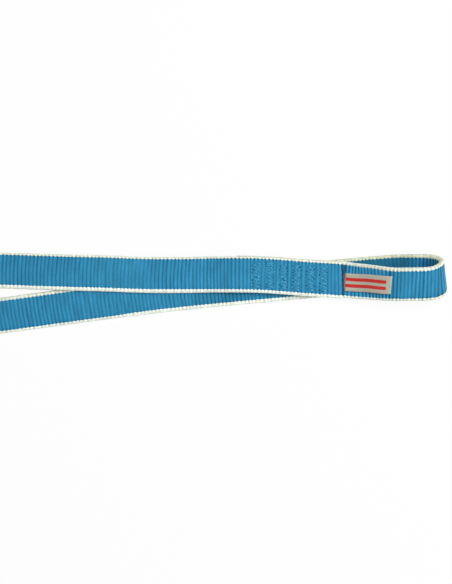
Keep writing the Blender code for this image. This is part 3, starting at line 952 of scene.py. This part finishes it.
def body_lie(s, w, side):
    """(how marked the ribs are, how dark the blue is) over the woven body."""
    root, _, _, fold = label_places()
    near_edge = eased((np.abs(w) - NEAR_EDGE_FROM) / NEAR_EDGE_REACH)
    marked = np.clip(RIBS_MARKED * rib_strength(s, side) * (1 + NEAR_EDGE_MORE * near_edge), 0, 1)
    # Beside the label: painted highlights on the crests and deeper painted shade in the valleys
    past_root, before_fold = eased((s - root) / BESIDE_ROOT_REACH), eased((fold - s) / BESIDE_FOLD_REACH)
    marked = marked + past_root * before_fold * (side > 0) * (BESIDE_LABEL_MARKED - marked)
    # A painted shadow in the gap between the seam's cut end and the label's root
    gap = eased(GAP_REACHES - np.abs(s - root + GAP_BEFORE_ROOT) / GAP_REACH) * (side > 0)
    marked = np.maximum(marked, gap)
    flat = pressed(s, w / CORE_HALF)
    # Darker stretches, with painted shade at the near bight's nose and round its turn
    tone = along_tape(s, TONE_START, TONE_END) + along_tape(s, TURN_SHADE) * (side > 0)
    # Painted shade inside the loop and beneath the upper strand
    beneath = along_tape(s, BENEATH_SHADE) * (s > BENEATH_SHADE[0][0])
    hidden = np.where(side < 0, along_tape(s, INSIDE_SHADE), beneath)
    # Where the stitches press the weave flat it is darker: partly the pressed yarns, partly painted shade
    # among the stitches
    dark = np.maximum(PRESSED_TONE * flat + tone + gap, hidden)
    return np.stack([marked * (1 - 0.5 * flat), dark], axis=-1)


def body_mesh(look):
    """The woven body between the selvedges, with its ribs in real relief."""
    s, u = ring_places()
    top = np.array(CORE_COLUMNS) / 1000
    w = np.concatenate([top, top[::-1]])[None, :]
    side = np.repeat([-1.0, 1.0], len(top))[None, :]
    s, u = s[:, None], u[:, None] + 0 * w
    height = face_height(s, u, w, side) * side
    verts = tape.points(s + bow(s, w / CORE_HALF), w + 0 * s, height).reshape(-1, 3)
    weave = np.stack([u, w / YARN_WIDTH + 0 * s], axis=-1)
    faces = ring_faces(len(s), w.size)
    return mesh_from("woven_body", verts, faces, look, weave=weave, lie=body_lie(s, w, side))


def edge_width(s, side):
    """How far the pale edge cord reaches in from the tape's edge."""
    if side > 0:
        return along_tape(s, LEFT_WIDTH_START, LEFT_WIDTH_END) / 1000
    return along_tape(s, RIGHT_WIDTH_START, RIGHT_WIDTH_END) / 1000


def edge_age_and_shade(s, side):
    """How yellow and dark the edge cord is along the tape: its yellowing, with painted shade round the near
    bight's nose.
    """
    return along_tape(s, LEFT_AGE_AND_SHADE_START, LEFT_AGE_AND_SHADE_END) if side > 0 else along_tape(s, RIGHT_AGE_AND_SHADE)


def edge_mesh(name, side, look):
    """A selvedge: a cord of yarns that swells over each rib, so its inner border is toothed."""
    s, u = ring_places()
    top = np.array(EDGE_SECTION)
    section = np.concatenate([top, top[-2::-1] * (1, -1)])
    a, b = section[:, 0][None, :], section[:, 1][None, :]
    s, u = s[:, None], u[:, None]
    bead = rib_profile(u)
    width = edge_width(s, side) + (BEAD_SWELL * bead - BEAD_NOTCH * (1 - bead)) * rib_size(u)
    outer = TAPE_WIDTH / 2 - OUTER_NOTCH * (1 - bead)
    tall = (FACE + EDGE_PROUD) * (EDGE_LOW + EDGE_RISE * bead) * sealed(s)
    w = side * (outer - width * (1 - a))
    verts = tape.points(s + bow(s, side * EDGE_BOWED_AT), w, tall * b).reshape(-1, 3)
    weave = np.stack([u + 0 * a, a * EDGE_YARNS + (b < 0) * EDGE_YARNS_APART + 0 * u], axis=-1)
    lie = np.stack([along_tape(s, EDGE_MARKED) + 0 * w, edge_age_and_shade(s, side) + 0 * w], axis=-1)
    faces = ring_faces(len(s), len(section))
    if side < 0:
        faces = [f[::-1] for f in faces]
    return mesh_from(name, verts, faces, look, weave=weave, lie=lie)


def thread_tube(points, radii, normals):
    """Vertices and faces of a plied thread along points, and how far along it each of them lies."""
    tangents = unit(np.gradient(points, axis=0))
    right = unit(np.cross(tangents, normals))
    up = np.cross(right, tangents)
    angle = np.arange(THREAD_SIDES) / THREAD_SIDES * 2 * np.pi
    steps = np.concatenate([[0], np.cumsum(np.linalg.norm(np.diff(points, axis=0), axis=1))])
    verts = []
    for p, r, t, b, d in zip(points, radii, right, up, steps):
        reach = r * (1 + PLY_DEPTH * np.cos(3 * (angle - PLY_TWIST * d)))
        verts.append(p + reach[:, None] * (np.cos(angle)[:, None] * t + np.sin(angle)[:, None] * b))
    return np.concatenate(verts), ring_faces(len(points), THREAD_SIDES), steps


def needle_places(index):
    """(along, across) of every needle hole of one tack in sewing order, a little uneven."""
    jitter = np.random.default_rng(40 + index)
    low, high = STITCH_CLIMBS[index]
    slant = float(sewn_slant(tack_places[index]))
    places = []
    across = -TACK_WIDTH / 2 + max(0, -low / 1000)
    while True:
        climb = np.interp(across, (-TACK_WIDTH / 2, TACK_WIDTH / 2), (low, high)) / 1000
        for ahead, side in ((-1, across), (1, across + climb)):
            side = side + STITCH_WANDER_ACROSS * jitter.normal()
            along = ahead * STITCH_REACH + STITCH_WANDER_ALONG * jitter.normal()
            places.append((along + slant * side, side))
        across += STITCH_CYCLE * (1 + STITCH_CYCLE_SPREAD * jitter.normal())
        if max(across, across + climb) > TACK_WIDTH / 2:
            return np.array(places)


def first_pass(index):
    """(along, across) of the needle holes of the straight stitches that the zigzag covers."""
    jitter = np.random.default_rng(60 + index)
    slant = float(sewn_slant(tack_places[index]))
    shares = np.arange(*FIRST_PASS_SHARES)
    across = shares * TACK_WIDTH + FIRST_PASS_WANDER_ACROSS * jitter.normal(size=len(shares))
    along = STITCH_REACH * jitter.choice(FIRST_PASS_LINES, size=len(shares))
    along = along + FIRST_PASS_WANDER_ALONG * jitter.normal(size=len(shares))
    return np.stack([along + slant * across, across], axis=-1)


def tack_mesh(index, look):
    """One bar tack: slanted stitches on both faces of the seam, from needle hole to needle hole."""
    places = needle_places(index)
    arch = np.array(STITCH_ARCH) / 1000
    thick = THREAD_DIAMETER / 2 * np.array(STITCH_THICKNESS)
    verts, faces, uvs = [], [], []
    base = 0
    for face, centre in ((1, tack_places[index]), (-1, tack_below[index])):
        middle, direction, across, outward = tape.frames(centre)
        for k, (start, stop) in enumerate(zip(places, places[1:])):
            flat = start + (stop - start) * np.linspace(0, 1, len(arch))[:, None]
            lift = face * (FACE - STITCH_SINK + arch - (STITCH_SINK if k % 2 else 0.0))
            line = middle + flat[:, :1] * direction + flat[:, 1:] * across + lift[:, None] * outward
            v, f, d = thread_tube(line, thick, np.broadcast_to(outward, line.shape))
            verts.append(v)
            faces += [[i + base for i in q] for q in f]
            base += len(v)
            run = np.repeat(d * 1000 + 7.3 * k, THREAD_SIDES)
            turn = np.tile(np.arange(THREAD_SIDES) / THREAD_SIDES, len(d))
            uvs.append(np.stack([run, turn], axis=-1))
    name = f"stitching_{index + 1}"
    return mesh_from(name, np.concatenate(verts), faces, look, weave=np.concatenate(uvs))


def holes_mesh(look):
    """Small dark pits where the needle went through, just beyond each turn of the thread: their dark colour
    is painted shade in the holes.
    """
    verts, faces = [], []
    angle = np.arange(HOLE_SIDES) / HOLE_SIDES * 2 * np.pi
    sizes = np.random.default_rng(5)
    rings = len(HOLE_RINGS)
    for index, centre in enumerate(tack_places):
        middle, direction, across, outward = tape.frames(centre)
        for along, side in [*needle_places(index), *first_pass(index)]:
            along += HOLE_WANDER * sizes.normal()
            r = HOLE_RADIUS * min(HOLE_MOST, max(HOLE_LEAST, 1 + HOLE_SPREAD * sizes.normal()))
            place = middle + along * direction + side * across
            base = len(verts)
            for scale, sunk in HOLE_RINGS:
                for t in angle:
                    turned = HOLE_LENGTHENED * np.cos(t) * direction + np.sin(t) * across
                    spot = place + scale * r * turned
                    verts.append(spot + (FACE - sunk) * outward)
            faces += [[i + base for i in q] for q in ring_faces(rings, HOLE_SIDES)]
    return mesh_from("needle_holes", verts, faces, look)


def seal_mesh(name, place, sign, look):
    """The melted edge of a cut end: a thin uneven bead across the tape."""
    w = np.linspace(-TAPE_WIDTH / 2 + SEAL_INSETS[0], TAPE_WIDTH / 2 - SEAL_INSETS[1], SEAL_PLACES)
    wobble = np.random.default_rng(21 + sign).normal(size=SEAL_PLACES)
    wobble = np.convolve(np.pad(wobble, 2, mode="edge"), WOBBLE_SMOOTHING, "valid")
    s = place + bow(place, w / CORE_HALF) + sign * (SEAL_AHEAD + SEAL_WANDER * wobble)
    middle, direction, across, outward = tape.frames(s)
    line = middle + w[:, None] * across
    radius = SEAL_RADIUS * (1 + SEAL_RADIUS_SPREAD * np.roll(wobble, 7))
    tall = FACE * SEAL_HEIGHT * (1 + SEAL_HEIGHT_SPREAD * np.roll(wobble, 19))
    angle = np.arange(SEAL_SIDES) / SEAL_SIDES * 2 * np.pi
    ahead, up = np.cos(angle), np.sign(np.sin(angle)) * np.abs(np.sin(angle)) ** 0.7
    verts = line[:, None, :] + (radius[:, None] * ahead)[..., None] * direction[:, None, :]
    verts = verts + (tall[:, None] * up)[..., None] * outward[:, None, :]
    return mesh_from(name, verts.reshape(-1, 3), ring_faces(SEAL_PLACES, SEAL_SIDES), look)


def label_mesh(look):
    """The folded ribbon, from its sewn tail out to the fold and back under itself."""
    root, middle, radius, fold = label_places()
    back = root - LABEL_TAIL_LENGTH + TAIL_TRIM
    flat = np.concatenate([np.linspace(back, root, TAIL_RINGS), np.linspace(root, fold, FLAP_RINGS)[1:]])
    turns = np.linspace(0, np.pi, TURN_RINGS)[1:]
    s = np.concatenate([flat, np.full(len(turns), fold), flat[::-1][1:]])
    turn = np.concatenate([np.zeros(len(flat)), turns, np.full(len(flat) - 1, np.pi)])[:, None]
    half, thick = LABEL_WIDTH / 2, LABEL_PLY / 2
    columns = np.linspace(-1, 1, LABEL_COLUMNS)
    across = np.concatenate([columns, [LABEL_RIM], columns[::-1], [-LABEL_RIM]])[None, :]
    depth = np.repeat([thick, 0, -thick, 0], [LABEL_COLUMNS, 1, LABEL_COLUMNS, 1])[None, :]
    share = np.clip((s - root) / (fold - root), 0, 1)[:, None]
    sidestep = LABEL_ROOT_SIDESTEP + share * (LABEL_FOLD_SIDESTEP - LABEL_ROOT_SIDESTEP)
    w = across * half * (1 + LABEL_FLARE * share) - sidestep
    reach = radius + depth
    wave = LABEL_WAVE * np.sin(share * LABEL_WAVE_TURNS + LABEL_WAVE_START) * eased(share / LABEL_WAVE_FROM)
    roll = LABEL_ROLL * eased(share * 1.1) * (1 - across) / 2
    height = middle + reach * np.cos(turn) + wave + LABEL_LIFT * share**2 + roll
    places = s[:, None] + reach * np.sin(turn) + LABEL_FOLD_SLANT * across * half * share
    verts = tape.points(places, w, height).reshape(-1, 3)
    run = np.concatenate([[0], np.cumsum(np.hypot(np.diff(s), radius * np.diff(turn[:, 0])))])
    weave = np.stack([run[:, None] * 1000 + 0 * w, across * half * 1000 + 0 * w], axis=-1)
    faces = [f[::-1] for f in ring_faces(len(s), across.size)]
    return mesh_from("ribbon_label", verts, faces, look, weave=weave)


# The pieces

# The darker colours of each pair carry painted shade, and on the cords also their yellowing
blue = weave_material(
    "woven_blue",
    fresh=((0.036, 0.266, 0.462), (0.001, 0.118, 0.262)),
    aged_and_shaded=((0.0145, 0.148, 0.247), (0.001, 0.030, 0.072)),
    roughness=0.75,
    sheen=0.06,
    yarn_depth=0.00009,
    specks=0.4,
)
cream = weave_material(
    "woven_cream",
    fresh=((0.88, 0.925, 0.84), (0.62, 0.70, 0.62)),
    aged_and_shaded=((0.63, 0.67, 0.47), (0.46, 0.52, 0.38)),
    roughness=0.85,
    sheen=0.1,
    yarn_depth=0.00006,
    specks=0.8,
)
thread = thread_material((0.012, 0.150, 0.290), (0.055, 0.385, 0.620))
# The needle pits' dark colour is painted shade in the holes
pit = plain_material("needle_pit", (0.004, 0.062, 0.145), (0.006, 0.085, 0.185), 0.9, 0.1, 3000, 0.00002)
# The melted bead's dark navy is partly the melted nylon's own colour and partly painted shadow at the cut
# end's step
melted = plain_material("melted_blue", (0.002, 0.032, 0.060), (0.006, 0.075, 0.130), 0.5, 0.2, 1800, 0.00008)
satin = label_material()

body = body_mesh(blue)
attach(body, "sling")
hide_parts("webbing")

for name, node, side in (("edge_left", "selvedge_left", 1), ("edge_right", "selvedge_right", -1)):
    edge = edge_mesh(name, side, cream)
    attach(edge, "sling")
    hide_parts(node)

for index in range(TACK_COUNT):
    stitching = tack_mesh(index, thread)
    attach(stitching, "sling")
    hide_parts(f"bar_tack_{index + 1}")

pits = holes_mesh(pit)
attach(pits, "sling")

for name, place, sign in (("sealed_end_inner", 0.0, -1), ("sealed_end_outer", tape.length, 1)):
    seal = seal_mesh(name, place, sign, melted)
    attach(seal, "sling")

label = label_mesh(satin)
root, middle, _, _ = label_places()
before = tape.points(root - 0.0002, 0.0, middle)
after = tape.points(root + 0.0016, 0.0, middle)
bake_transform(label)
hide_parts("label_flap", "label_tail")


# The floor, the light and the camera


def seen_directly(tree):
    """1 for camera, mirror and see-through rays, which show the pale backdrop, and 0 for the light."""
    path = tree.nodes.new("ShaderNodeLightPath")
    rays = [path.outputs[f"Is {kind} Ray"] for kind in ("Camera", "Glossy", "Transmission")]
    return math_node(tree, "MAXIMUM", math_node(tree, "MAXIMUM", rays[0], rays[1]), rays[2])


def floor_piece():
    """The pale floor, which glows softly where it is seen."""
    made, tree, shader = nodes_of("pale_floor", 0.9, 0.1)
    coords = tree.nodes.new("ShaderNodeTexCoord")
    grain = noise(tree, coords.outputs["Object"], 900)
    coloured(tree, shader, ramp(tree, grain, ((0.3, (0.86,) * 3), (0.7, (0.88,) * 3))))
    glow = tree.nodes.new("ShaderNodeEmission")
    glow.inputs["Strength"].default_value = FLOOR_GLOW
    both = tree.nodes.new("ShaderNodeMixShader")
    tree.links.new(math_node(tree, "MULTIPLY", seen_directly(tree), FLOOR_GLOW_SHARE), both.inputs[0])
    tree.links.new(shader.outputs[0], both.inputs[1])
    tree.links.new(glow.outputs[0], both.inputs[2])
    tree.links.new(both.outputs[0], tree.nodes["Material Output"].inputs["Surface"])
    corners = [(x * FLOOR_HALF, y * FLOOR_HALF, 0) for x, y in ((-1, -1), (1, -1), (1, 1), (-1, 1))]
    return mesh_from("floor", corners, [(0, 1, 2, 3)], made)


def area_light(name, place, size, energy):
    data = bpy.data.lights.new(name, "AREA")
    data.shape = "DISK"
    data.size = size
    data.energy = energy
    obj = bpy.data.objects.new(name, data)
    bpy.context.scene.collection.objects.link(obj)
    obj.location = place
    obj.rotation_euler = (TARGET - Vector(place)).to_track_quat("-Z", "Y").to_euler()


floor = floor_piece()
for lamp in LAMPS:
    area_light(*lamp)

world = bpy.data.worlds.new("studio")
world.use_nodes = True
tree = world.node_tree
background = tree.nodes["Background"]
background.inputs["Color"].default_value = (1, 1, 1, 1)
more = BACKDROP_SEEN - BACKDROP_LIGHT
strength = math_node(tree, "MULTIPLY_ADD", seen_directly(tree), more, BACKDROP_LIGHT)
tree.links.new(strength, background.inputs["Strength"])
bpy.context.scene.world = world

camera_data = bpy.data.cameras.new("camera")
camera_data.sensor_width = SENSOR_WIDTH
camera_data.sensor_fit = "HORIZONTAL"
camera_data.lens = SENSOR_WIDTH * CAMERA_DISTANCE / PICTURE_WIDTH
camera = bpy.data.objects.new("camera", camera_data)
bpy.context.scene.collection.objects.link(camera)
back_axis = Vector((0, math.sin(CAMERA_TILT), math.cos(CAMERA_TILT)))
up_axis = Vector((0, math.cos(CAMERA_TILT), -math.sin(CAMERA_TILT)))
axes = Matrix((up_axis.cross(back_axis), up_axis, back_axis)).transposed().to_4x4()
camera.matrix_world = Matrix.Translation(TARGET + CAMERA_DISTANCE * back_axis) @ axes
bpy.context.scene.camera = camera
bpy.context.scene.view_settings.view_transform = "Standard"
